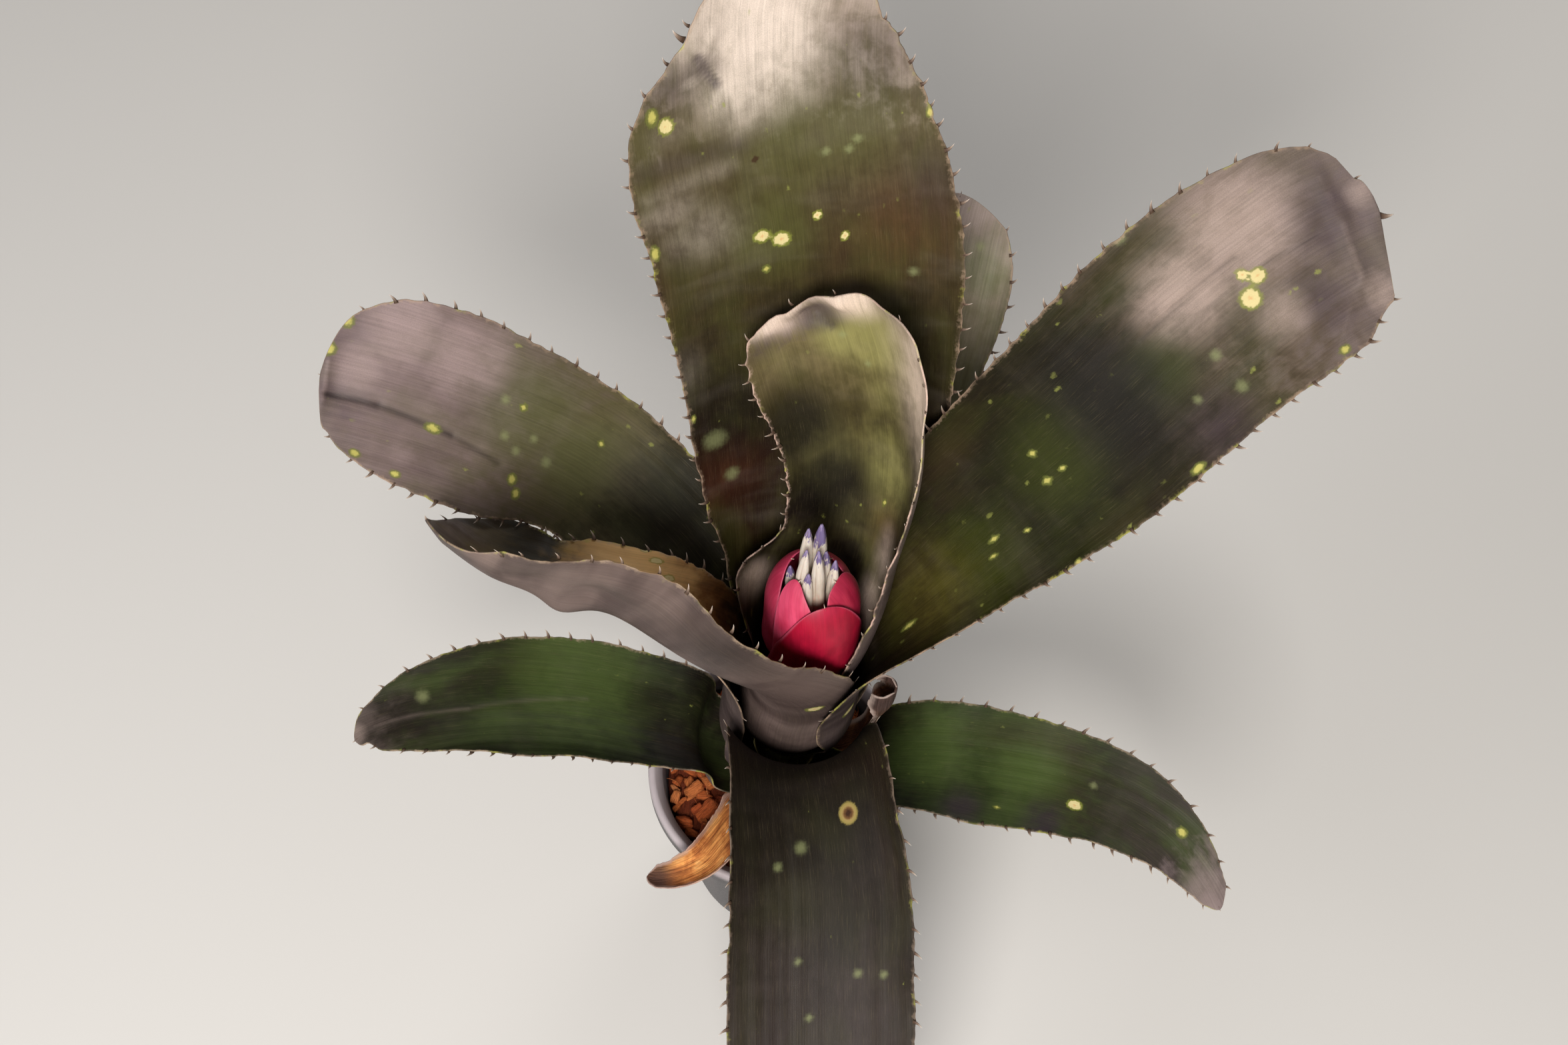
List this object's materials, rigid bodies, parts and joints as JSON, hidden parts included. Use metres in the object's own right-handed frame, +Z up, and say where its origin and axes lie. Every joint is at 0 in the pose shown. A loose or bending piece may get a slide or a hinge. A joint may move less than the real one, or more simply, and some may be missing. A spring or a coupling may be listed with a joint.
{
  "type": "potted dark prince billbergia",
  "caption": "Tube-shaped dark bromeliad with broad spiny-edged leaves and a pink flower head in its cup, growing in a small round pot of husk chips.",
  "frame": {"origin": "centre of the pot's flat base, which rests on the surface", "axes": "+Z up along the pot's axis, -Y the front, where the broad front leaf bends down over the rim"},
  "size_m": [0.2774, 0.263, 0.3159],
  "materials": {
    "pot": "smooth matte dark grey",
    "substrate": "coarse husk and bark chips",
    "stem": "fibrous pale green-brown",
    "leaf_dark": "dark purple-brown with a grey bloom and pale spots",
    "leaf_green": "olive green with a purple tint",
    "leaf_dried": "dry papery brown",
    "bract": "satin crimson pink",
    "bud": "waxy white with violet tips"
  },
  "bodies": {
    "root": {"pot": "pot", "substrate": "substrate", "stem": "stem", "leaf_centre": "leaf_dark", "leaf_left_inner": "leaf_dark", "leaf_right": "leaf_dark", "leaf_back": "leaf_dark", "leaf_left_outer": "leaf_dark", "leaf_front": "leaf_dark", "leaf_back_right": "leaf_dark", "leaf_low_left": "leaf_green", "leaf_low_right": "leaf_green", "dried_sheath_right": "leaf_dried", "dried_leaf_front": "leaf_dried", "scape": "stem", "bract_front": "bract", "bract_left": "bract", "bract_right": "bract", "bract_back_left": "bract", "bract_back_right": "bract", "bud_right_tall": "bud", "bud_left_tall": "bud", "bud_left": "bud", "bud_front": "bud", "bud_right": "bud", "bud_middle": "bud", "bud_far_right": "bud", "bud_far_left": "bud"}
  },
  "joints": []
}
